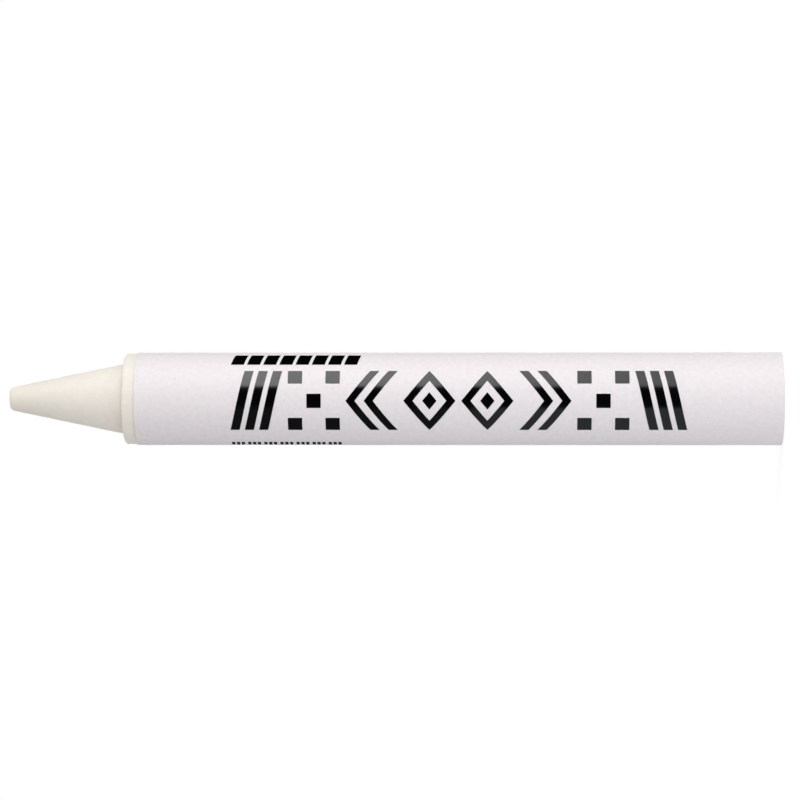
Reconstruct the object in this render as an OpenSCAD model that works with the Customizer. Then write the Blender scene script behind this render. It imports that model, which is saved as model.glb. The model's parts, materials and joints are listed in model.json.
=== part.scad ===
// Stick of marking chalk in a paper wrapper. Millimetres.
// The stick stands on its butt at z = 0 with its point up. The print faces -Y and the seam of the
// wrapper faces +Y.

/* [Chalk stick] */
// Length of the whole stick, from the butt to the tip
overall_len = 120; // [95:1:180]
// Diameter of the round body
body_d = 14.1; // [12:0.1:24]
// Length of the tapered point, from the shoulder to the tip
point_len = 18; // [8:0.1:30]
// Width of the shoulder's flat ring, from the point out to the side of the body
shoulder_w = 1.55; // [1.1:0.05:2.5]
// Diameter of the blunt tip, out to the corner that its rounding takes off
tip_d = 3.5; // [2.4:0.1:5]
// Radius of the rounding at the tip
tip_round = 0.8; // [0.2:0.05:1]
// Radius of the rounding at the outer edge of the shoulder
shoulder_round = 0.6; // [0.1:0.05:0.8]
// Radius of the hollow fillet where the point grows out of the shoulder
root_fillet = 0.2; // [0.05:0.05:0.25]
// Radius of the rounding at the edge of the butt
butt_round = 0.2; // [0.1:0.05:0.6]

/* [Paper wrapper] */
// Thickness of the paper
paper_t = 0.08; // [0.06:0.01:0.25]
// Whole turns that the paper makes round the stick
turns = 2; // [1:1:4]
// Room between the stick and the paper that is glued to it
paper_fit = 0; // [0:0.01:0.1]
// How far the shoulder stands out of the wrapper
shoulder_reveal = 2; // [1:0.1:8]
// How far the butt stands out of the wrapper
butt_reveal = 0.05; // [0:0.05:3]
// Width of the overlap at the seam, round the stick
seam_lap = 3; // [1:0.5:8]
// Width over which the outer turn climbs onto the inner end of the sheet
seam_ramp = 0.6; // [0.2:0.1:1]

/* [Bold print] */
// Thickness of the film of ink
ink_t = 0.03; // [0.02:0.01:0.08]
// Least length of bare paper between the print and each end of the wrapper
print_margin = 14; // [5:0.1:30]
// Width of the band of motifs, round the stick
band_w = 9.8; // [6:0.1:12]
// Angle from the front to the middle of the band, towards -X
band_turn = 2.5; // [0:0.5:20]
// Length of one motif
motif_len = 8; // [6:0.1:12]
// Space between two motifs
motif_gap = 0.9; // [0.4:0.1:3]
// Width of a bold stroke, along the stick
stroke = 1.4; // [0.6:0.1:1.8]
// How far a leaning stroke leans over the width of the band
stroke_lean = 2.2; // [0:0.1:3]
// Width of a square field
square_w = 2.2; // [0.8:0.1:2.6]

/* [Fine print] */
// Number of fields in the upper row, on the +X side of the band
upper_fields = 8; // [1:1:10]
// Width of the upper row, round the stick
upper_w = 2.7; // [1:0.1:4.5]
// Space between the band and the upper row
upper_gap = 1.3; // [0.5:0.1:2.5]
// Number of fields in the lower row, on the -X side of the band
lower_fields = 7; // [1:1:10]
// Width of the lower row, round the stick
lower_w = 2.7; // [1:0.1:4]
// Space between the band and the lower row
lower_gap = 3.3; // [0.5:0.1:4]
// Length of a field, along the stick
field_len = 2; // [1.5:0.1:3]
// Space between two fields
field_gap = 0.5; // [0.3:0.1:1]
// How far a field of the upper row leans over its width
field_lean = 0.6; // [0:0.1:1.5]
// Width of a fine stroke
fine_stroke = 0.5; // [0.2:0.05:0.6]

/* [Hidden] */
$fn = 180;

body_r = body_d / 2;
body_len = overall_len - point_len;
base_r = body_r - shoulder_w;
tip_r = tip_d / 2;

// How far in from the corner of a level line and the side of the point a circle of radius 1 that
// touches both has its centre
taper = atan2(base_r - tip_r, point_len);
corner_shift = (1 - sin(taper)) / cos(taper);
side_normal = [cos(taper), sin(taper)];

butt_centre = [body_r - butt_round, butt_round];
shoulder_centre = [body_r - shoulder_round, body_len - shoulder_round];
root_centre = [base_r + root_fillet * corner_shift, body_len + root_fillet];
tip_centre = [tip_r - tip_round * corner_shift, overall_len - tip_round];
// How far the slanted side of the point runs into a rounding, so that the two lines surely cross
hair = 0.0002;

wrapper_ri = body_r + paper_fit;
wrapper_r = wrapper_ri + turns * paper_t;
seam_r = wrapper_r + paper_t;
wrapper_len = body_len - shoulder_reveal - butt_reveal;
wrapper_top = butt_reveal + wrapper_len;

motif_pitch = motif_len + motif_gap;
motif_count = floor((wrapper_len - 2 * print_margin + motif_gap) / motif_pitch);
print_len = motif_count * motif_pitch - motif_gap;
print_top = wrapper_top - (wrapper_len - print_len) / 2;
field_pitch = field_len + field_gap;
// The longest straight step of an outline that goes round the stick
outline_step = 1;
// Reach of the cutters, clear of every round surface
beyond = 2 * seam_r;
// Share of the length of the seam's ramp by which its line runs on at each end
ramp_overrun = 0.3;

// Angle that a width round the wrapper takes up at the axis
function turn_of(width) = width / wrapper_r * 180 / PI;

// Point at an angle from the middle of the back
function behind(radius, turn) = [radius * sin(turn), radius * cos(turn)];

// An outline is drawn flat, as points [distance towards the butt, distance round the wrapper],
// and laid on the wrapper as it looks from straight in front, as points [x, z].
function laid(outline) = [
    for (i = [0 : len(outline) - 1])
        let (
            start = outline[i],
            side = outline[(i + 1) % len(outline)] - start,
            steps = max(1, ceil(abs(side[1]) / outline_step))
        )
        for (k = [0 : steps - 1])
            let (p = start + side * k / steps)
            [wrapper_r * sin(turn_of(p[1])), -p[0]]
];

// Chalk

module disc_at(centre, radius) translate(centre) circle(r = radius);

// Fills the inner corner at the foot of the point, down to its hollow fillet. The patch reaches
// into the body and into the point.
module root_patch() {
    difference() {
        polygon([
            [0, body_len - root_fillet],
            [root_centre[0], body_len - root_fillet],
            root_centre,
            root_centre - 2 * root_fillet * side_normal
        ]);
        disc_at(root_centre, root_fillet + hair);
    }
}

// Half section, from the axis out
module stick_section() {
    polygon([
        [0, 0],
        [butt_centre[0], 0],
        [body_r, butt_centre[1]],
        [body_r, shoulder_centre[1]],
        [shoulder_centre[0], body_len],
        [base_r, body_len],
        tip_centre + (tip_round - hair) * side_normal,
        [tip_centre[0], overall_len],
        [0, overall_len]
    ]);
    disc_at(butt_centre, butt_round);
    disc_at(shoulder_centre, shoulder_round);
    disc_at(tip_centre, tip_round);
    root_patch();
}

module chalk_stick() {
    color("#ece8dc")
        rotate_extrude()
            stick_section();
}

// Paper

// The outer end of the sheet, cut square at one side, and at the other side the ramp by which the
// paper climbs over the inner end. The line of the ramp runs on past its foot and its head, so
// that the round surfaces cut it off.
module seam_section() {
    half_lap = turn_of(seam_lap) / 2;
    foot = behind(wrapper_r, -half_lap - turn_of(seam_ramp));
    climb = behind(seam_r, -half_lap) - foot;
    intersection() {
        circle(r = seam_r);
        polygon([
            [0, 0],
            foot - ramp_overrun * climb,
            foot + (1 + ramp_overrun) * climb,
            behind(beyond, -half_lap),
            behind(beyond, half_lap)
        ]);
    }
}

module paper_wrapper() {
    color("#f1edf1")
        translate([0, 0, butt_reveal])
            linear_extrude(wrapper_len)
                difference() {
                    union() {
                        circle(r = wrapper_r);
                        seam_section();
                    }
                    circle(r = wrapper_ri);
                }
}

// Print: shapes that start at 0 along the stick and lie evenly about 0 round it

module leaning_bar(along, wide, lean) {
    polygon(laid([
        [0, -wide / 2],
        [along, -wide / 2],
        [along + lean, wide / 2],
        [lean, wide / 2]
    ]));
}

module chevron(along, wide, reach) {
    polygon(laid([
        [0, 0],
        [reach, wide / 2],
        [reach + along, wide / 2],
        [along, 0],
        [reach + along, -wide / 2],
        [reach, -wide / 2]
    ]));
}

module diamond(along, wide) {
    polygon(laid([[0, 0], [along / 2, wide / 2], [along, 0], [along / 2, -wide / 2]]));
}

// A square whose middle lies at a height round the stick
module square_at(start, height) {
    low = height - square_w / 2;
    high = height + square_w / 2;
    polygon(laid([[start, low], [start + square_w, low], [start + square_w, high], [start, high]]));
}

module down_the_stick(distance) translate([0, -distance]) children();

module three_leaning_strokes() {
    pitch = (motif_len - stroke_lean - stroke) / 2;
    for (i = [0 : 2])
        down_the_stick(i * pitch)
            leaning_bar(stroke, band_w, stroke_lean);
}

// Set as on a die
module five_squares() {
    far = motif_len - square_w;
    high = (band_w - square_w) / 2;
    for (start = [0, far], height = [-high, high])
        square_at(start, height);
    square_at(far / 2, 0);
}

module two_chevrons() {
    pitch = 2 * stroke;
    for (i = [0 : 1])
        down_the_stick(i * pitch)
            chevron(stroke, band_w, motif_len - pitch - stroke);
}

// An open diamond round a small solid one
module nested_diamonds() {
    opening = motif_len - 2 * stroke;
    difference() {
        diamond(motif_len, band_w);
        down_the_stick(stroke)
            diamond(opening, opening * band_w / motif_len);
    }
    down_the_stick((motif_len - square_w) / 2)
        diamond(square_w, square_w * band_w / motif_len);
}

module motif(kind) {
    if (kind == 0) three_leaning_strokes();
    if (kind == 1) five_squares();
    if (kind == 2) two_chevrons();
    if (kind == 3) nested_diamonds();
}

// The motifs run from both ends of the band to its middle, the second half mirrored
module band() {
    for (i = [0 : motif_count - 1])
        if (i < motif_count / 2)
            down_the_stick(i * motif_pitch)
                motif(i % 4);
        else
            down_the_stick(i * motif_pitch + motif_len)
                mirror([0, 1])
                    motif((motif_count - 1 - i) % 4);
}

module upper_row() {
    for (i = [0 : upper_fields - 1])
        down_the_stick(i * field_pitch)
            leaning_bar(field_len, upper_w, field_lean);
}

// Fields of three fine strokes
module lower_row() {
    stroke_pitch = (field_len - fine_stroke) / 2;
    for (i = [0 : lower_fields - 1], k = [0 : 2])
        down_the_stick(i * field_pitch + k * stroke_pitch)
            leaning_bar(fine_stroke, lower_w, 0);
}

// Film of ink in the outlines given, with their middle line at an angle from the front
module film(turn) {
    rotate([0, 0, turn])
        intersection() {
            translate([0, 0, print_top])
                rotate([90, 0, 0])
                    linear_extrude(beyond)
                        children();
            difference() {
                cylinder(h = wrapper_top, r = wrapper_r + ink_t);
                cylinder(h = wrapper_top, r = wrapper_r);
            }
        }
}

module print_fields() {
    color("#101010") {
        film(-band_turn) band();
        film(turn_of((band_w + upper_w) / 2 + upper_gap) - band_turn) upper_row();
        film(-turn_of((band_w + lower_w) / 2 + lower_gap) - band_turn) lower_row();
    }
}

chalk_stick();
paper_wrapper();
print_fields();
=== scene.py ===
"""A stick of marking chalk in its printed paper wrapper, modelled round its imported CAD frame.

The stick stands on its butt with its point up. The print faces -Y and the seam of the wrapper
faces +Y. Lengths are in metres.
"""

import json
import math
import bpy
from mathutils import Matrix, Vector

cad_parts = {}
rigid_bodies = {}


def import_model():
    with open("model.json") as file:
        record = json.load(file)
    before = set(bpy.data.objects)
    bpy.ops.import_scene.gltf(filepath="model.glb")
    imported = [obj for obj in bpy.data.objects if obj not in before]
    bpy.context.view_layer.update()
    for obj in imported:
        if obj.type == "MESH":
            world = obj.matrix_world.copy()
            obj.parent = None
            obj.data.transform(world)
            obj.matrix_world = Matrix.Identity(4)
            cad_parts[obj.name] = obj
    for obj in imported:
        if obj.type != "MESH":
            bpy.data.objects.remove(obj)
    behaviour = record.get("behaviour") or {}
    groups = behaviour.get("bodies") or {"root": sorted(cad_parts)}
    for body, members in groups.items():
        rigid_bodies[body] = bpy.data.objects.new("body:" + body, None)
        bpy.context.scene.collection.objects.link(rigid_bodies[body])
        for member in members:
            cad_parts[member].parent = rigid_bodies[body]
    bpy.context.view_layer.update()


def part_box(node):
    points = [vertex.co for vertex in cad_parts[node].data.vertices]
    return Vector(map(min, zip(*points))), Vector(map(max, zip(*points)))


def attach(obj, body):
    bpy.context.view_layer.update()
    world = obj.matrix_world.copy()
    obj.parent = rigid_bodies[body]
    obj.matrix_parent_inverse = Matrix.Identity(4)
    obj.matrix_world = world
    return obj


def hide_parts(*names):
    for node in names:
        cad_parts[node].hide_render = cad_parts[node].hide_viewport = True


bl_info = {
    "name": "Marking chalk stick",
    "version": (1, 0, 0),
    "blender": (4, 5, 0),
    "location": "View3D > Sidebar > Chalk",
    "description": "Models a stick of marking chalk, its paper wrapper and the print on it",
    "category": "Add Mesh",
}

import bmesh
import bpy
from mathutils import Matrix, Vector, noise

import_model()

MM = 0.001
STICK_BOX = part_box("chalk_stick")
WRAPPER_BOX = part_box("paper_wrapper")

STICK_LEN = STICK_BOX[1].z
BODY_R = STICK_BOX[1].x
WRAPPER_R = WRAPPER_BOX[1].x
# The seam, at +Y, stands out from the rest of the wrapper by one sheet
PAPER_T = WRAPPER_BOX[1].y - WRAPPER_R
WRAPPER_FOOT = WRAPPER_BOX[0].z
WRAPPER_TOP = WRAPPER_BOX[1].z


# ------------------------------------------------------------------ settings


def length(name, about, default):
    """A size that the user may change, kept in metres."""
    return bpy.props.FloatProperty(
        name=name, description=about, default=default, min=0.0, precision=5, unit="LENGTH"
    )


def angle(name, about, degrees):
    """An angle that the user may change, kept in radians."""
    return bpy.props.FloatProperty(
        name=name, description=about, default=math.radians(degrees), subtype="ANGLE"
    )


def colour(name, about, default):
    """A colour that the user may change, in linear light."""
    return bpy.props.FloatVectorProperty(
        name=name, description=about, default=default, size=3, min=0.0, max=1.0, subtype="COLOR"
    )


def number(name, about, default):
    """A plain number from 0 up."""
    return bpy.props.FloatProperty(name=name, description=about, default=default, min=0.0)


def count(name, about, default):
    """A whole number from 1 up."""
    return bpy.props.IntProperty(name=name, description=about, default=default, min=1)


class StickSettings(bpy.types.PropertyGroup):
    """Sizes and colour of the moulded chalk."""

    point_len: length("Point length", "From the shoulder to the tip", 18 * MM)
    shoulder_w: length("Shoulder width", "Flat ring between the point and the side", 1.55 * MM)
    tip_r: length("Tip radius", "Radius of the blunt tip, out to the rounded-off corner", 1.75 * MM)
    tip_round: length("Tip rounding", "Radius of the rounding at the tip", 0.8 * MM)
    shoulder_round: length("Shoulder rounding", "Radius at the edge of the shoulder", 0.6 * MM)
    root_fillet: length("Root fillet", "Hollow fillet at the foot of the point", 0.2 * MM)
    butt_round: length("Butt rounding", "Radius at the edge of the butt", 0.2 * MM)
    unevenness: length("Unevenness", "Depth of the slow waves in the moulded surface", 0.02 * MM)
    chalk: colour("Chalk", "Colour of the chalk", (0.81, 0.768, 0.7))


class WrapperSettings(bpy.types.PropertyGroup):
    """Sizes and colour of the wound paper."""

    turns: count("Turns", "Whole turns that the paper makes", 2)
    seam_lap: length("Seam overlap", "Width of the overlap at the seam", 3.0 * MM)
    seam_ramp: length("Seam ramp", "Width over which one turn climbs the next", 0.6 * MM)
    wander: length("Edge wander", "How far a cut edge strays from straight", 0.03 * MM)
    paper: colour("Paper", "Colour of the paper", (0.77, 0.728, 0.742))


class PrintSettings(bpy.types.PropertyGroup):
    """Sizes and colour of the print."""

    film: length("Film", "Thickness of the ink", 0.03 * MM)
    corner: length("Corner rounding", "How far a printed corner is softened", 0.07 * MM)
    band_turn: angle("Band turn", "From the front to the middle of the band, towards -X", 2.5)
    band_w: length("Band width", "Width of the band of motifs, round the stick", 9.8 * MM)
    motif_len: length("Motif length", "Length of one motif", 8.0 * MM)
    motif_gap: length("Motif gap", "Space between two motifs", 0.9 * MM)
    motifs: count("Motifs", "Number of motifs in the band", 8)
    stroke: length("Stroke", "Width of a bold stroke", 1.4 * MM)
    stroke_lean: length("Stroke lean", "How far a leaning stroke leans", 2.2 * MM)
    square_w: length("Square", "Width of a square field", 2.2 * MM)
    upper_fields: count("Upper fields", "Fields in the fine row at +X", 8)
    upper_w: length("Upper width", "Width of the fine row at +X", 2.7 * MM)
    upper_gap: length("Upper gap", "From the band to the fine row at +X", 1.3 * MM)
    lower_fields: count("Lower fields", "Fields in the fine row at -X", 7)
    lower_w: length("Lower width", "Width of the fine row at -X", 2.7 * MM)
    lower_gap: length("Lower gap", "From the band to the fine row at -X", 3.3 * MM)
    field_len: length("Field length", "Length of a field in a fine row", 2.0 * MM)
    field_gap: length("Field gap", "Space between two fields", 0.5 * MM)
    field_lean: length("Field lean", "How far a field of the upper row leans", 0.6 * MM)
    fine_stroke: length("Fine stroke", "Width of a fine stroke", 0.5 * MM)
    ink: colour("Ink", "Colour of the ink", (0.0008, 0.0008, 0.001))


class StageSettings(bpy.types.PropertyGroup):
    """The floor, the lamps and the camera."""

    floor_r: length("Floor radius", "Radius of the pale floor", 120 * MM)
    floor: colour("Floor", "Colour of the floor", (0.85, 0.85, 0.85))
    front: number("Front", "Radiance of the room in front, above and below the horizon", 1.06)
    back: number("Back", "Radiance of the room behind, above and below the horizon", 0.7)
    key: number("Key", "Radiance of the softbox", 4.8)
    fill: number("Fill", "Radiance of the card beside the butt", 0.4)
    fill_tint: colour("Fill tint", "Colour of the card beside the butt", (0.82, 0.89, 1.0))
    behind: number("Behind", "Radiance of the card behind the stick", 2.5)
    glow: number("Glow", "Radiance of the dim wall at -X", 0.1)
    floor_lift: number("Floor lift", "Radiance that lifts the floor to white in the view", 1.68)
    lift_share: number("Lift share", "Share of the lift in the floor's look, from 0 to 1", 0.3)
    camera_distance: length("Camera distance", "From the camera to the stick", 569.5 * MM)
    camera_height: length("Camera height", "Height of the camera", 41.9 * MM)
    camera_shift: length("Camera shift", "From the axis to the camera, towards -X", 0.18 * MM)
    aim_height: length("Aim height", "Height of the point that the camera looks at", 59.2 * MM)
    lens: number("Lens", "Focal length in millimetres", 164.9)


# ------------------------------------------------------------ modelling aids


def start_clean():
    """Leaves edit mode and deselects everything, the CAD nodes included."""
    if bpy.context.object and bpy.context.object.mode != "OBJECT":
        bpy.ops.object.mode_set(mode="OBJECT")
    bpy.ops.object.select_all(action="DESELECT")


def work_on(piece):
    """Makes the piece the only one that the next operators act on."""
    start_clean()
    piece.select_set(True)
    bpy.context.view_layer.objects.active = piece


def pick(kind, test):
    """Selects only those vertices, edges or faces of the edited piece that pass a test."""
    bpy.ops.mesh.select_mode(type=kind)
    data = bpy.context.edit_object.data
    mesh = bmesh.from_edit_mesh(data)
    elements = {"VERT": mesh.verts, "EDGE": mesh.edges, "FACE": mesh.faces}[kind]
    found = [element for element in elements if test(element)]
    if not found:
        raise RuntimeError(f"nothing to select on {bpy.context.edit_object.name}")
    for element in (*mesh.verts, *mesh.edges, *mesh.faces):
        element.select_set(False)
    for element in found:
        element.select_set(True)
    mesh.select_flush_mode()
    bmesh.update_edit_mesh(data)


def middle(element):
    """Middle of an edge or a face."""
    return sum((v.co for v in element.verts), Vector()) / len(element.verts)


def ring(radius, height, slack=0.02 * MM):
    """Test for the edges of a level ring of that radius at that height."""
    return lambda edge: all(
        abs(v.co.z - height) < slack and abs(v.co.xy.length - radius) < slack for v in edge.verts
    )


def settle(piece):
    """Puts the piece's place into its mesh, so that its object sits at the origin."""
    work_on(piece)
    bpy.ops.object.transform_apply(location=True, rotation=True, scale=True)


def modify(piece, kind, **settings):
    """Adds a modifier with its settings and applies it."""
    work_on(piece)
    modifier = piece.modifiers.new(kind.title(), kind)
    for name, value in settings.items():
        setattr(modifier, name, value)
    bpy.ops.object.modifier_apply(modifier=modifier.name)


def smooth(piece, degrees):
    """Shades the piece smooth, with a crease wherever faces meet at more than that angle."""
    work_on(piece)
    bpy.ops.object.shade_smooth_by_angle(angle=math.radians(degrees))


def dress(piece, slot, node, *materials):
    """Gives the piece its materials and its place in the frame, where it stands for a CAD node."""
    for material in materials:
        piece.data.materials.append(material)
    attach(piece, "root")
    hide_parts(node)


# ---------------------------------------------------------------- shader aids

WHITE = (1, 1, 1, 1)
# Share of a noise's range over which mottles turn from one tone to the other
MOTTLE = (0.15, 0.85)
# A spot is whole within that share of its radius, and a cell surely has a spot where its chance is
# below that share of the limit
SPOT_CORE = 0.5
SURE_CHANCE = 0.9


class Socket:
    """An output of a shader node. Maths on it is written as on a number."""

    def __init__(self, shader, output):
        self.shader = shader
        self.output = output

    def other(self, name):
        """Another output of the same node."""
        return Socket(self.shader, self.output.node.outputs[name])

    def math(self, operation, first, second):
        return self.shader.node("Math", {"operation": operation}, {0: first, 1: second})

    def __add__(self, value):
        return self.math("ADD", self, value)

    def __sub__(self, value):
        return self.math("SUBTRACT", self, value)

    def __rsub__(self, value):
        return self.math("SUBTRACT", value, self)

    def __mul__(self, value):
        return self.math("MULTIPLY", self, value)

    __radd__ = __add__
    __rmul__ = __mul__

    def __abs__(self):
        return self.math("ABSOLUTE", self, 0.0)

    def rise(self, start, end):
        """0 up to start, 1 from end on, and smooth between them. It falls if end is below start."""
        return self.shader.node(
            "MapRange",
            {"interpolation_type": "SMOOTHSTEP"},
            {"Value": self, "From Min": start, "From Max": end},
        )


class Shader:
    """A node tree that is being built."""

    # Places of a Mix node's two colour inputs and of its colour output
    MIX_COLOURS = (6, 7, 2)

    def __init__(self, tree):
        self.tree = tree
        tree.nodes.clear()

    def node(self, kind, settings=None, sockets=None, out=0):
        """Adds a node, gives it its settings and then its sockets' values or links."""
        node = self.tree.nodes.new("ShaderNode" + kind)
        for name, value in (settings or {}).items():
            setattr(node, name, value)
        for name, value in (sockets or {}).items():
            if isinstance(value, Socket):
                self.tree.links.new(value.output, node.inputs[name])
            else:
                node.inputs[name].default_value = value
        return Socket(self, node.outputs[out]) if node.outputs else None

    def mix(self, share, first, second):
        """Blends two colours. Each is a socket, or three numbers."""
        a, b, out = self.MIX_COLOURS
        first, second = (c if isinstance(c, Socket) else (*c, 1.0) for c in (first, second))
        return self.node("Mix", {"data_type": "RGBA"}, {"Factor": share, a: first, b: second}, out)

    def noise(self, place, size, detail=2.0, stretch=(1, 1, 1), turn=0.0):
        """Even noise about 0 with spots of that size, stretched and turned about Z."""
        place = self.node(
            "Mapping",
            {"vector_type": "TEXTURE"},
            {"Vector": place, "Rotation": (0, 0, turn), "Scale": stretch},
        )
        texture = self.node("TexNoise", None, {"Vector": place, "Scale": 1 / size, "Detail": detail})
        return texture - 0.5

    def spots(self, place, pitch, radius, share, cells="3D"):
        """1 inside small round spots with soft edges and 0 outside. Only that share of the cells
        has a spot. On a flat sheet the cells are 2D."""
        cell = self.node(
            "TexVoronoi", {"voronoi_dimensions": cells}, {"Vector": place, "Scale": 1 / pitch}
        )
        from_middle = cell.other("Distance")
        chance = self.node("SeparateColor", None, {"Color": cell.other("Color")})
        reach = radius / pitch
        return from_middle.rise(reach, SPOT_CORE * reach) * chance.rise(share, SURE_CHANCE * share)

    def surface(self, finish, height, depth):
        """Ends the tree in a Principled shader with that finish and a bump of that depth."""
        bump = self.node("Bump", None, {"Height": height, "Distance": depth})
        principled = self.node("BsdfPrincipled", None, {**finish, "Normal": bump})
        self.node("OutputMaterial", None, {"Surface": principled})


def new_material(name):
    """A fresh material, and the shader in it."""
    material = bpy.data.materials.new(name)
    material.use_nodes = True
    return material, Shader(material.node_tree)


def tinted(colour, factor):
    """A colour made lighter or darker by one factor, or by one for each channel."""
    factors = factor if isinstance(factor, tuple) else (factor,) * 3
    return tuple(min(1.0, c * f) for c, f in zip(colour, factors))


def mottled(shader, colour, shade, cast, depth, hue):
    """A colour in light and dark mottles, and in mottles that lean to a hue or to its opposite.

    The depth is how much lighter or darker it gets, and the hue how much stronger each channel
    gets. Shade and cast are noises that lie evenly about 0."""
    leaning = []
    for side in (-1, 1):
        lean = [1 + side * part for part in hue]
        dark, light = (
            tinted(colour, tuple((1 + tone * depth) * part for part in lean)) for tone in (-1, 1)
        )
        leaning.append(shader.mix((shade + 0.5).rise(*MOTTLE), dark, light))
    return shader.mix((cast + 0.5).rise(*MOTTLE), *leaning)


# ---------------------------------------------------------------- chalk stick

STICK_SIDES = 192
POINT_RINGS = 36
CAP_RINGS = 4
TIP_STEPS = 10
ROOT_STEPS = 4
SHOULDER_STEPS = 9
BUTT_STEPS = 5
# Least part of a level face's normal that lies along Z
LEVEL = 0.9
# Size of the slow waves in the moulded surface
WAVE_SIZE = 2.2 * MM


def corner_offset(radius, turning):
    """How far from a corner its rounding begins, where the outline turns by that angle."""
    return radius * math.tan(turning / 2)


def round_edge(radius, height, offset, segments):
    """Bevels the level ring of edges at that radius and height."""
    pick("EDGE", ring(radius, height))
    bpy.ops.mesh.bevel(offset_type="OFFSET", offset=offset, segments=segments, affect="EDGES")


def divide_cap(way, height, radius):
    """Gives the flat round end that looks up or down (1 or -1) a few rings and a centre."""
    pick("FACE", lambda f: len(f.verts) > 4
         and f.normal.z * way > LEVEL
         and abs(middle(f).z - height) < MM)
    for _ in range(CAP_RINGS - 1):
        bpy.ops.mesh.inset(thickness=radius / CAP_RINGS)
    bpy.ops.mesh.poke()


def model_stick(size):
    """Moulds the stick from a cylinder: the shoulder is an inset, the point an extrusion of it, and
    every edge is rounded with a bevel."""
    start_clean()
    shoulder = STICK_LEN - size.point_len
    base_r = BODY_R - size.shoulder_w
    bpy.ops.mesh.primitive_cylinder_add(
        vertices=STICK_SIDES, radius=BODY_R, depth=shoulder, location=(0, 0, shoulder / 2)
    )
    stick = bpy.context.object
    stick.name = "moulded_chalk"
    settle(stick)

    bpy.ops.object.mode_set(mode="EDIT")
    pick("FACE", lambda f: f.normal.z > LEVEL)
    bpy.ops.mesh.inset(thickness=size.shoulder_w)
    bpy.ops.mesh.extrude_region_move(TRANSFORM_OT_translate={"value": (0, 0, size.point_len)})
    narrowing = size.tip_r / base_r
    bpy.ops.transform.resize(value=(narrowing, narrowing, 1))

    slope = math.atan2(size.point_len, base_r - size.tip_r)
    round_edge(size.tip_r, STICK_LEN, corner_offset(size.tip_round, slope), TIP_STEPS)
    round_edge(base_r, shoulder, corner_offset(size.root_fillet, slope), ROOT_STEPS)
    round_edge(BODY_R, shoulder, size.shoulder_round, SHOULDER_STEPS)
    round_edge(BODY_R, 0, size.butt_round, BUTT_STEPS)

    pick("EDGE", lambda e: middle(e).z > shoulder
         and abs(e.verts[0].co.z - e.verts[1].co.z) > size.point_len / 2)
    bpy.ops.mesh.subdivide(number_cuts=POINT_RINGS)
    divide_cap(1, STICK_LEN, size.tip_r - size.tip_round)
    divide_cap(-1, 0, BODY_R)
    bpy.ops.object.mode_set(mode="OBJECT")

    sink_waves(stick, shoulder - size.shoulder_round, size.unevenness)
    smooth(stick, degrees=40)
    return stick


def sink_waves(piece, above, depth):
    """Sinks the surface above a height by slow waves of up to that depth, and never raises it."""
    group = piece.vertex_groups.new(name="waves")
    group.add([v.index for v in piece.data.vertices if v.co.z > above], 1.0, "REPLACE")
    clouds = bpy.data.textures.new("moulding waves", "CLOUDS")
    clouds.noise_scale = WAVE_SIZE
    modify(
        piece, "DISPLACE", texture=clouds, texture_coords="LOCAL", vertex_group=group.name,
        mid_level=1.0, strength=depth,
    )
    piece.vertex_groups.clear()


# How far the adhesive line and painted shadow reach beside the wrapper's edge, and how much of
# the tip is greyer
GLUE_AND_SHADOW_LINE = 0.28 * MM
GREYER_TIP_LEN = 16 * MM
# How far the painted shade reaches out from the crease at the foot of the point
CREASE_SHADE_REACH = 0.45 * MM
# Colours of chalk with adhesive and painted shadow, of the greyer tip, of a pore and of the
# painted shade in the crease, as shares of the clean chalk's
SHADOW_AND_GREYED_CHALK = (0.87, 0.86, 0.85)
PORE = (0.62, 0.58, 0.52)
CREASE_SHADE_CHALK = (0.75, 0.68, 0.66)


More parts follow.
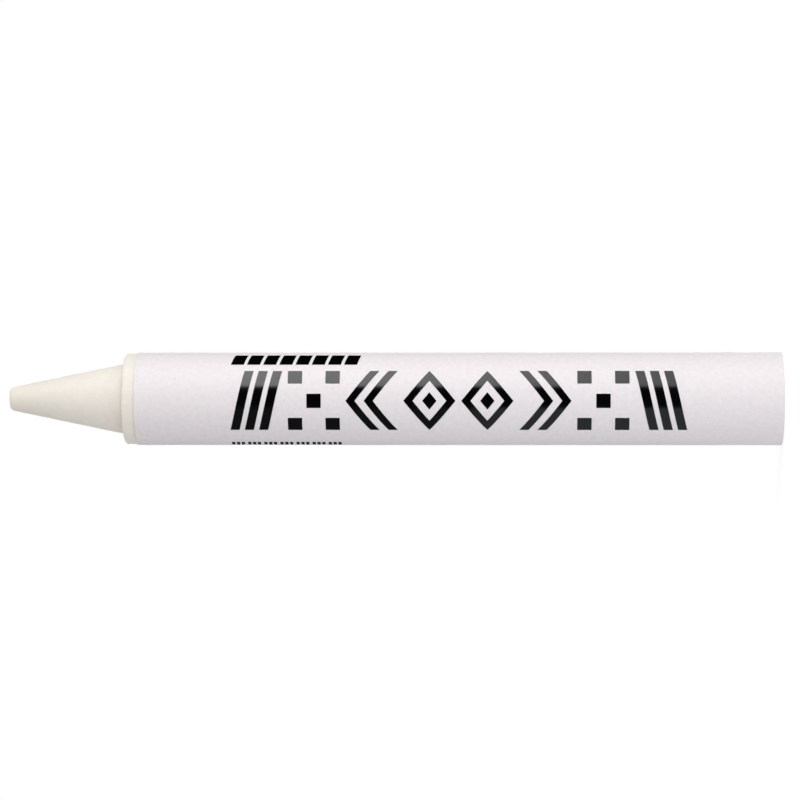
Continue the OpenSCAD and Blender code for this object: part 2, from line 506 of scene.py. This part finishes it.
def chalk_material(size):
    """Pale waxy chalk: fine grain, slow clouds, small pores and drag marks of the mould, adhesive
    with a painted shadow along the wrapper, painted shade in the crease at the foot of the point and
    a tip that is a little greyer."""
    material, shader = new_material("moulded chalk")
    place = shader.node("TexCoord", out="Object")
    grain = shader.noise(place, 0.13 * MM, detail=4)
    clouds = shader.noise(place, 0.9 * MM, detail=4)
    cast = shader.noise(place, 1.2 * MM, detail=4)
    drags = shader.noise(place, 0.35 * MM, detail=3, stretch=(1, 1, 25))
    height = shader.node("SeparateXYZ", None, {"Vector": place}).other("Z")
    outwards = shader.node("VectorMath", {"operation": "MULTIPLY"}, {0: place, 1: (1, 1, 0)})
    radius = shader.node("VectorMath", {"operation": "LENGTH"}, {0: outwards}, out="Value")
    shoulder = STICK_LEN - size.point_len
    base_r = BODY_R - size.shoulder_w
    # Painted shade in the crease at the foot of the point, darkest in the corner
    crease_shade = (abs(height - shoulder) + abs(radius - base_r)).rise(CREASE_SHADE_REACH, 0.0)
    # Adhesive and a painted shadow on the chalk just beyond the wrapper's edge
    glue_and_shadow = abs(height - WRAPPER_TOP).rise(GLUE_AND_SHADOW_LINE, 0.0)
    # The chalk gets a little greyer towards the tip
    greyer_tip = height.rise(STICK_LEN - GREYER_TIP_LEN, STICK_LEN)
    pores = shader.spots(place, pitch=0.9 * MM, radius=0.07 * MM, share=0.35)

    shade = grain * 0.8 + clouds * 0.8
    colour = mottled(shader, size.chalk, shade, cast, depth=0.04, hue=(0.013, -0.022, 0.01))
    # Adhesive and painted shadow along the wrapper's edge, and the tip a little greyer
    colour = shader.mix(glue_and_shadow * 0.35 + greyer_tip * 0.42, colour, tinted(size.chalk, SHADOW_AND_GREYED_CHALK))
    colour = shader.mix(pores * 0.35, colour, tinted(size.chalk, PORE))
    # Paints shade into the crease at the foot of the point
    colour = shader.mix(crease_shade * 0.8, colour, tinted(size.chalk, CREASE_SHADE_CHALK))
    shader.surface(
        {
            "Base Color": colour,
            "Roughness": 0.5 + grain * 0.25 + clouds * 0.12,
            "Specular IOR Level": 0.45,
            "Subsurface Weight": 0.5,
            "Subsurface Radius": (0.5 * MM, 0.45 * MM, 0.35 * MM),
            "Subsurface Scale": 1.0,
        },
        height=grain * 0.55 + clouds * 0.3 + drags * 0.35 - pores,
        depth=0.012 * MM,
    )
    return material


# ---------------------------------------------------------------------- paper

FACING_FRONT = (math.pi / 2, 0, 0)
SHEET_STEPS_A_TURN = 200
SHEET_ROWS = 40
# How much thinner the paper is than the room it has, so that its turns don't touch
PAPER_SLACK = 0.003 * MM
# Length of the waves in a cut edge, and the exponent, lacunarity and octaves of their noise
CUT_WAVE = 1.3 * MM
CUT_NOISE = (1, 2, 3)
# How near to the edge of the sheet a vertex counts as on it
ON_EDGE = 0.01 * MM
# How far the seam's line of adhesive and painted shadow shows beside the free edge of the sheet
SEAM_GLUE_SHADOW_LINE = 0.3 * MM
# Colour of the seam's line of adhesive and painted shadow, as a share of the clean paper's, and
# the colour of a grey speck
SEAM_GLUE_SHADOW_PAPER = (0.66, 0.63, 0.6)
SPECK = (0.35, 0.33, 0.36)
# Darkest and palest tone of a cut edge, as shares of the clean paper's
CUT_TONES = (0.84, 1.04)


def winding(size):
    """Line that the middle of the paper follows from its inner end, as points in the XY plane.

    The inner end lies at the -X side of the overlap. Just before it, each turn climbs onto the one
    below, and the last turn ends past it, at the +X side."""
    lap = size.seam_lap / WRAPPER_R
    ramp = size.seam_ramp / WRAPPER_R
    start = -lap / 2
    end = start + size.turns * math.tau + lap
    steps = SHEET_STEPS_A_TURN * size.turns
    corners = [start + k * math.tau - back for k in range(1, size.turns + 1) for back in (ramp, 0)]
    angles = sorted([start + (end - start) * i / steps for i in range(steps + 1)] + corners)

    def sheets_below(place):
        """How many sheets the paper has climbed onto at that angle, with parts on the ramps."""
        whole, rest = divmod(place - start, math.tau)
        if whole == size.turns:
            return whole
        return whole + max(0.0, 1 - (math.tau - rest) / ramp)

    inner = WRAPPER_R - (size.turns - 0.5) * PAPER_T
    radii = [inner + sheets_below(place) * PAPER_T for place in angles]
    return [Vector((r * math.sin(a), r * math.cos(a), 0)) for r, a in zip(radii, angles)]


def bend_along(piece, points):
    """Bends a piece that lies along X onto a line of points in the XY plane."""
    curve = bpy.data.curves.new("winding", "CURVE")
    curve.dimensions = "3D"
    curve.twist_mode = "Z_UP"
    spline = curve.splines.new("POLY")
    spline.points.add(len(points) - 1)
    for point, place in zip(spline.points, points):
        point.co = (*place, 1)
    line = bpy.data.objects.new("winding", curve)
    bpy.context.collection.objects.link(line)
    modify(piece, "CURVE", object=line, deform_axis="POS_X")
    bpy.data.objects.remove(line)


def roughen_cut(piece, foot, top, wander):
    """Lets the cut ends of the sheet stray inwards a little, as a blade leaves them."""
    for vertex in piece.data.vertices:
        x, _, z = vertex.co
        for edge, inwards in ((foot, 1), (top, -1)):
            if abs(z - edge) < ON_EDGE:
                stray = 0.5 + 0.5 * noise.fractal(Vector((x / CUT_WAVE, edge / MM, 0)), *CUT_NOISE)
                vertex.co.z += inwards * wander * min(1, max(0, stray))


def model_wrapper(size):
    """Winds a flat sheet of paper round the stick. Gives back the sheet's length and height too."""
    start_clean()
    line = winding(size)
    sheet_len = sum((b - a).length for a, b in zip(line, line[1:]))
    sheet_h = WRAPPER_TOP - WRAPPER_FOOT
    bpy.ops.mesh.primitive_grid_add(
        x_subdivisions=SHEET_STEPS_A_TURN * size.turns,
        y_subdivisions=SHEET_ROWS,
        size=1,
        location=(sheet_len / 2, 0, (WRAPPER_FOOT + WRAPPER_TOP) / 2),
        rotation=FACING_FRONT,
    )
    wrapper = bpy.context.object
    wrapper.name = "wound_paper"
    wrapper.scale = (sheet_len, sheet_h, 1)
    settle(wrapper)
    roughen_cut(wrapper, WRAPPER_FOOT, WRAPPER_TOP, size.wander)
    modify(
        wrapper, "SOLIDIFY", thickness=PAPER_T - PAPER_SLACK, offset=0.0, material_offset_rim=1
    )
    bend_along(wrapper, line)
    smooth(wrapper, degrees=30)
    return wrapper, sheet_len, sheet_h


def sheet_place(shader, sheet_len, sheet_h):
    """Place on the flat sheet in metres, from its UV map."""
    flat = shader.node("UVMap", {"uv_map": "UVMap"})
    return shader.node("Mapping", None, {"Vector": flat, "Scale": (sheet_len, sheet_h, 1)})


def fibres(shader, place):
    """Fine fibres of the paper, each family of them at its own angle."""
    families = [shader.noise(place, 0.07 * MM, detail=2, stretch=(9, 1, 1), turn=turn)
                for turn in (0.3, 1.2, 2.2)]
    return families[0] + families[1] + families[2]


def paper_material(size, sheet_len, sheet_h):
    """White satin paper with a faint violet cast: fibres, soft clouds, a few grey specks and a thin
    line of adhesive and painted shadow along the free edge of the sheet."""
    material, shader = new_material("satin paper")
    place = sheet_place(shader, sheet_len, sheet_h)
    fibre = fibres(shader, place)
    clouds = shader.noise(place, 0.8 * MM, detail=3)
    cast = shader.noise(place, 0.9 * MM, detail=3)
    specks = shader.spots(place, pitch=3.4 * MM, radius=0.16 * MM, share=0.25, cells="2D")
    along = shader.node("SeparateXYZ", None, {"Vector": place}).other("X")
    outer_turn = math.tau * (WRAPPER_R - PAPER_T / 2)
    # The seam's line beside the free edge: adhesive and a painted shadow
    seam = abs(along - (sheet_len - outer_turn)).rise(SEAM_GLUE_SHADOW_LINE, 0.0)

    shade = fibre * 0.5 + clouds * 0.9
    colour = mottled(shader, size.paper, shade, cast, depth=0.042, hue=(0.01, -0.016, 0.013))
    colour = shader.mix(specks * 0.22, colour, SPECK)
    # Paints the seam's line of adhesive and shadow
    colour = shader.mix(seam * 0.8, colour, tinted(size.paper, SEAM_GLUE_SHADOW_PAPER))
    shader.surface(
        {
            "Base Color": colour,
            "Roughness": 0.48 + fibre * 0.12 + clouds * 0.1,
            "Specular IOR Level": 0.38,
        },
        height=fibre * 0.5 + clouds * 0.4,
        depth=0.006 * MM,
    )
    return material


def cut_edge_material(size):
    """The raw cut edge of the paper, rougher and a little greyer than its face."""
    material, shader = new_material("cut paper edge")
    place = shader.node("TexCoord", out="Object")
    fuzz = shader.noise(place, 0.05 * MM, detail=3)
    dark, pale = (tinted(size.paper, tone) for tone in CUT_TONES)
    colour = shader.mix((fuzz + 0.5).rise(0.2, 0.8), dark, pale)
    shader.surface({"Base Color": colour, "Roughness": 0.85}, height=fuzz, depth=0.01 * MM)
    return material


# ---------------------------------------------------------------------- print

# Width of the strips into which the film is cut to bend
BEND_STEP = 0.25 * MM
# Least angle in radians between two faces at the rim of the film, and the share of its thickness
# that the rounding of the rim takes
RIM_ANGLE = 1.0
RIM_ROUND = 0.4
# Colour of the paper that shows through a pinhole
PINHOLE = (0.09, 0.088, 0.09)
# Ways in which a motif runs along the stick from where it begins
DOWN, UP = 1, -1


def flat_field(x, z, wide, tall):
    """Adds a flat rectangle to the edited mesh, in the XZ plane and seen from -Y."""
    bpy.ops.mesh.primitive_plane_add(size=1, location=(x, 0, z), rotation=FACING_FRONT)
    bpy.ops.transform.resize(value=(wide, 1, tall), center_override=(x, 0, z))


def flat_diamond(x, z, wide, tall):
    """Adds a flat diamond to the edited mesh, in the XZ plane and seen from -Y."""
    bpy.ops.mesh.primitive_circle_add(
        vertices=4, radius=0.5, fill_type="NGON", location=(x, 0, z), rotation=FACING_FRONT
    )
    bpy.ops.transform.resize(value=(wide, 1, tall), center_override=(x, 0, z))


def move_up(distance):
    """Moves what is selected towards the point of the stick."""
    bpy.ops.transform.translate(value=(0, 0, distance))


def repeat(times, step):
    """Copies the field that holds the selection down the stick, one step after another."""
    bpy.ops.mesh.select_linked()
    for _ in range(times - 1):
        bpy.ops.mesh.duplicate_move(TRANSFORM_OT_translate={"value": (0, 0, -step)})


def leaning_bar(x, z, wide, along, lean, way=DOWN):
    """A bar that begins at height z and runs one way, with its +X side moved on by its lean."""
    flat_field(x, z - way * along / 2, wide, along)
    pick("VERT", lambda v: v.select and v.co.x > x)
    move_up(-way * lean)


def three_leaning_strokes(size, x, z, way):
    """Strokes side by side, as long as the band is wide."""
    leaning_bar(x, z, size.band_w, size.stroke, size.stroke_lean, way)
    repeat(3, way * (size.motif_len - size.stroke_lean - size.stroke) / 2)


def five_squares(size, x, z, way):
    """Squares set as on a die."""
    across = (size.band_w - size.square_w) / 2
    along = (size.motif_len - size.square_w) / 2
    centre = z - way * size.motif_len / 2
    flat_field(x, centre, size.square_w, size.square_w)
    for side in (-1, 1):
        for end in (-1, 1):
            flat_field(x + side * across, centre + end * along, size.square_w, size.square_w)


def two_chevrons(size, x, z, way):
    """Chevrons that point at the end of the stick where the motif begins."""
    pitch = 2 * size.stroke
    reach = size.motif_len - pitch - size.stroke
    flat_field(x, z - way * (reach + size.stroke / 2), size.band_w, size.stroke)
    bpy.ops.mesh.bisect(plane_co=(x, 0, z), plane_no=(1, 0, 0))
    move_up(way * reach)
    repeat(2, way * pitch)


def nested_diamonds(size, x, z, way):
    """An open diamond round a small solid one."""
    centre = z - way * size.motif_len / 2
    flat_diamond(x, centre, size.band_w, size.motif_len)
    slant = math.hypot(size.band_w, size.motif_len)
    bpy.ops.mesh.inset(thickness=size.stroke * size.band_w / slant)
    bpy.ops.mesh.delete(type="FACE")
    flat_diamond(x, centre, size.square_w * size.band_w / size.motif_len, size.square_w)


MOTIFS = (three_leaning_strokes, five_squares, two_chevrons, nested_diamonds)


def print_band(size, x, top):
    """The motifs run from both ends of the band to its middle, the second half mirrored."""
    for i in range(size.motifs):
        start = top - i * (size.motif_len + size.motif_gap)
        if 2 * i < size.motifs:
            MOTIFS[i % len(MOTIFS)](size, x, start, DOWN)
        else:
            MOTIFS[(size.motifs - 1 - i) % len(MOTIFS)](size, x, start - size.motif_len, UP)


def print_upper_row(size, x, top):
    """Each field is one leaning bar."""
    leaning_bar(x, top, size.upper_w, size.field_len, size.field_lean)
    repeat(size.upper_fields, size.field_len + size.field_gap)


def print_lower_row(size, x, top):
    """Each field is three fine strokes."""
    for stroke in range(3):
        start = top - stroke * (size.field_len - size.fine_stroke) / 2
        leaning_bar(x, start, size.lower_w, size.fine_stroke, 0)
        repeat(size.lower_fields, size.field_len + size.field_gap)


def soften_film(size):
    """Rounds the corners of the printed fields, and then the rim of the film."""
    pick("EDGE", lambda e: abs(e.verts[0].co.y - e.verts[1].co.y) > size.film / 2)
    bpy.ops.mesh.bevel(offset=size.corner, segments=4, affect="EDGES")
    pick("EDGE", lambda e: all(v.co.y < -size.film / 2 for v in e.verts)
         and len(e.link_faces) == 2
         and e.calc_face_angle() > RIM_ANGLE)
    bpy.ops.mesh.bevel(offset=RIM_ROUND * size.film, segments=2, affect="EDGES")


def cut_for_bending(half_width):
    """Cuts the flat film into narrow strips that run up the stick, so that it can bend."""
    for i in range(-int(half_width / BEND_STEP), int(half_width / BEND_STEP) + 1):
        bpy.ops.mesh.select_all(action="SELECT")
        bpy.ops.mesh.bisect(plane_co=(i * BEND_STEP, 0, 0), plane_no=(1, 0, 0))


def model_print(size):
    """Lays the print out flat, with X round the stick and Z up it, and bends it onto the paper."""
    pitch = size.motif_len + size.motif_gap
    print_len = size.motifs * pitch - size.motif_gap
    top = (WRAPPER_FOOT + WRAPPER_TOP + print_len) / 2
    band_x = -size.band_turn * WRAPPER_R
    upper_x = band_x + (size.band_w + size.upper_w) / 2 + size.upper_gap
    lower_x = band_x - (size.band_w + size.lower_w) / 2 - size.lower_gap

    marks = bpy.data.objects.new("printed_marks", bpy.data.meshes.new("printed_marks"))
    bpy.context.collection.objects.link(marks)
    work_on(marks)
    bpy.ops.object.mode_set(mode="EDIT")
    print_band(size, band_x, top)
    print_upper_row(size, upper_x, top)
    print_lower_row(size, lower_x, top)
    bpy.ops.object.mode_set(mode="OBJECT")

    modify(marks, "SOLIDIFY", thickness=size.film, offset=1.0)
    bpy.ops.object.mode_set(mode="EDIT")
    soften_film(size)
    cut_for_bending(max(abs(upper_x) + size.upper_w / 2, abs(lower_x) + size.lower_w / 2))
    bpy.ops.object.mode_set(mode="OBJECT")

    # The bend leaves the line at x = 0 where it is, so the print then moves out onto the paper
    across = [v.co.x for v in marks.data.vertices]
    modify(
        marks, "SIMPLE_DEFORM", deform_method="BEND", deform_axis="Z",
        angle=(max(across) - min(across)) / WRAPPER_R,
    )
    bpy.ops.transform.translate(value=(0, -WRAPPER_R, 0))
    settle(marks)
    smooth(marks, degrees=12)
    return marks


def ink_material(size):
    """Glossy black ink that follows the paper under it, with a few pinholes."""
    material, shader = new_material("glossy black ink")
    place = shader.node("TexCoord", out="Object")
    pull = shader.noise(place, 0.5 * MM, detail=2)
    fibre = shader.noise(place, 0.09 * MM, detail=3)
    pinholes = shader.spots(place, pitch=0.8 * MM, radius=0.035 * MM, share=0.25)
    colour = shader.mix(pinholes * 0.5, tuple(size.ink), PINHOLE)
    shader.surface(
        {
            "Base Color": colour,
            "Roughness": 0.14 + fibre * 0.08 + pinholes * 0.3,
            "Specular IOR Level": 0.5,
        },
        height=pull * 0.7 + fibre * 0.3 - pinholes * 0.5,
        depth=0.004 * MM,
    )
    return material


# ---------------------------------------------------------------------- stage

# Watts of a lamp for each square metre of it and each unit of radiance
LAMP_WATTS = 4.0
# Where each card stands, and its width and height. Azimuth 0 is at -Y and 90 at +X.
FILL_CARD = {
    "azimuth": -50, "height": 4 * MM, "distance": 110 * MM, "wide": 120 * MM, "tall": 90 * MM,
}
BACK_CARD = {
    "azimuth": 180, "height": 60 * MM, "distance": 400 * MM, "wide": 250 * MM, "tall": 300 * MM,
}


def card(name, azimuth, height, distance, wide, tall, radiance, tint):
    """Adds a glowing card that faces the stick."""
    back = Vector((math.sin(math.radians(azimuth)), -math.cos(math.radians(azimuth)), 0))
    bpy.ops.object.light_add(
        type="AREA",
        location=back * distance + Vector((0, 0, height)),
        rotation=back.to_track_quat("Z", "Y").to_euler(),
    )
    lamp = bpy.context.object
    lamp.name = name
    lamp.visible_camera = False
    lamp.data.shape = "RECTANGLE"
    lamp.data.size = wide
    lamp.data.size_y = tall
    lamp.data.energy = LAMP_WATTS * radiance * wide * tall
    lamp.data.color = tint


# Where each part of the room begins and where it is whole, as the share of a direction that
# points along X, Y or Z. The room is dark at the horizon but for a dim wall at -X, and the softbox
# hangs in that band, at +X and in front, with soft edges.
HORIZON_Z = (0.15, 0.3)
FRONT_Y = (0.5, -0.5)
BACKDROP_Y = (0.96, 0.99)
WALL_X = (-0.2, -0.5)
SOFTBOX_X = (0.44, 0.585)
SOFTBOX_Y = (0.0, -0.2)
SOFTBOX_Z = (0.34, 0.2)
# The softbox fades from its upper half to its lower one, down to that share of its light
FADE_Z = (-0.12, 0.12)
FADED = 0.25
# How much dimmer the ceiling is than the walls, and how much brighter the ground
CEILING_FALL = 0.12


def build_room(stage):
    """A white surround for the camera, and for light a plain one with a softbox in it."""
    world = bpy.data.worlds.new("white studio")
    world.use_nodes = True
    shader = Shader(world.node_tree)
    direction = shader.node("TexCoord", out="Generated")
    parts = shader.node("SeparateXYZ", None, {"Vector": direction})
    x, y, z = (parts.other(axis) for axis in "XYZ")
    rays = shader.node("LightPath")
    camera = rays.other("Is Camera Ray")
    mirrored = rays.other("Is Glossy Ray") + rays.other("Is Transmission Ray")
    seen = camera.math("MAXIMUM", camera, y.rise(*BACKDROP_Y) * mirrored)
    white = shader.node("Background", None, {"Color": WHITE, "Strength": 1.0})

    ahead = y.rise(*FRONT_Y) * (stage.front - stage.back) + stage.back
    above_or_below = abs(z).rise(*HORIZON_Z)
    open_room = above_or_below * ahead * (1.0 - z * CEILING_FALL)
    wall = (1.0 - above_or_below) * x.rise(*WALL_X) * stage.glow
    softbox = x.rise(*SOFTBOX_X) * y.rise(*SOFTBOX_Y) * abs(z).rise(*SOFTBOX_Z)
    fade = z.rise(*FADE_Z) * (1.0 - FADED) + FADED
    level = open_room + wall + softbox * fade * stage.key
    light = shader.node("Background", None, {"Color": WHITE, "Strength": level})
    room = shader.node("MixShader", None, {0: seen, 1: light, 2: white})
    shader.node("OutputWorld", None, {"Surface": room})
    bpy.context.scene.world = world


def build_floor(stage):
    """A pale round floor, lifted to white for the camera but for the stick's own shadow, and clear
    from below."""
    start_clean()
    bpy.ops.mesh.primitive_circle_add(vertices=128, radius=stage.floor_r, fill_type="NGON")
    floor = bpy.context.object
    floor.name = "floor"
    material, shader = new_material("pale floor")
    camera = shader.node("LightPath").other("Is Camera Ray")
    paint = shader.node("BsdfDiffuse", None, {"Color": (*stage.floor, 1)})
    lift = shader.node("Emission", None, {"Color": WHITE, "Strength": stage.floor_lift})
    face = shader.node("MixShader", None, {0: camera * stage.lift_share, 1: paint, 2: lift})
    below = shader.node("NewGeometry").other("Backfacing")
    clear = shader.node("BsdfTransparent")
    both_sides = shader.node("MixShader", None, {0: below, 1: face, 2: clear})
    shader.node("OutputMaterial", None, {"Surface": both_sides})
    floor.data.materials.append(material)
    floor.visible_shadow = False
    floor.visible_diffuse = False


def place_camera(stage):
    """A long lens in front of the print, turned on its side so that the point is on the left."""
    place = Vector((-stage.camera_shift, -stage.camera_distance, stage.camera_height))
    ahead = (Vector((place.x, 0, stage.aim_height)) - place).normalized()
    up = Vector((1, 0, 0))
    axes = Matrix((ahead.cross(up), up, -ahead)).transposed()
    bpy.ops.object.camera_add(location=place, rotation=axes.to_euler())
    camera = bpy.context.object
    camera.data.lens = stage.lens
    bpy.context.scene.camera = camera


# ------------------------------------------------------------------ operators


class CHALK_OT_add_stick(bpy.types.Operator):
    """Models the moulded stick and gives it its chalk"""

    bl_idname = "chalk.add_stick"
    bl_label = "Chalk stick"

    def execute(self, context):
        size = context.scene.chalk_stick
        dress(model_stick(size), "chalk", "chalk_stick", chalk_material(size))
        return {"FINISHED"}


class CHALK_OT_add_wrapper(bpy.types.Operator):
    """Winds the paper round the stick"""

    bl_idname = "chalk.add_wrapper"
    bl_label = "Paper wrapper"

    def execute(self, context):
        size = context.scene.chalk_wrapper
        wrapper, sheet_len, sheet_h = model_wrapper(size)
        face = paper_material(size, sheet_len, sheet_h)
        dress(wrapper, "paper", "paper_wrapper", face, cut_edge_material(size))
        return {"FINISHED"}


class CHALK_OT_add_print(bpy.types.Operator):
    """Prints the motifs on the paper"""

    bl_idname = "chalk.add_print"
    bl_label = "Print"

    def execute(self, context):
        size = context.scene.chalk_print
        dress(model_print(size), "ink", "print_fields", ink_material(size))
        return {"FINISHED"}


class CHALK_OT_add_stage(bpy.types.Operator):
    """Sets up the floor, the lamps and the camera"""

    bl_idname = "chalk.add_stage"
    bl_label = "Stage"

    def execute(self, context):
        stage = context.scene.chalk_stage
        build_room(stage)
        build_floor(stage)
        card("fill_card", **FILL_CARD, radiance=stage.fill, tint=stage.fill_tint)
        card("back_card", **BACK_CARD, radiance=stage.behind, tint=WHITE[:3])
        place_camera(stage)
        context.scene.view_settings.view_transform = "Standard"
        return {"FINISHED"}


class CHALK_PT_panel(bpy.types.Panel):
    """Lists the pieces and their settings"""

    bl_idname = "CHALK_PT_panel"
    bl_label = "Marking chalk"
    bl_space_type = "VIEW_3D"
    bl_region_type = "UI"
    bl_category = "Chalk"

    def draw(self, context):
        for operator, group in STEPS:
            box = self.layout.box()
            box.operator(operator.bl_idname)
            settings = getattr(context.scene, group)
            for name in settings.__annotations__:
                box.prop(settings, name)


STEPS = (
    (CHALK_OT_add_stick, "chalk_stick"),
    (CHALK_OT_add_wrapper, "chalk_wrapper"),
    (CHALK_OT_add_print, "chalk_print"),
    (CHALK_OT_add_stage, "chalk_stage"),
)
SETTINGS = (StickSettings, WrapperSettings, PrintSettings, StageSettings)


def register():
    for group in SETTINGS:
        bpy.utils.register_class(group)
    for (operator, name), group in zip(STEPS, SETTINGS):
        bpy.utils.register_class(operator)
        setattr(bpy.types.Scene, name, bpy.props.PointerProperty(type=group))
    bpy.utils.register_class(CHALK_PT_panel)


def unregister():
    bpy.utils.unregister_class(CHALK_PT_panel)
    for (operator, name), group in zip(STEPS, SETTINGS):
        delattr(bpy.types.Scene, name)
        bpy.utils.unregister_class(operator)
        bpy.utils.unregister_class(group)


def main():
    """Models everything."""
    register()
    bpy.ops.chalk.add_stick()
    bpy.ops.chalk.add_wrapper()
    bpy.ops.chalk.add_print()
    bpy.ops.chalk.add_stage()


if __name__ == "__main__":
    main()
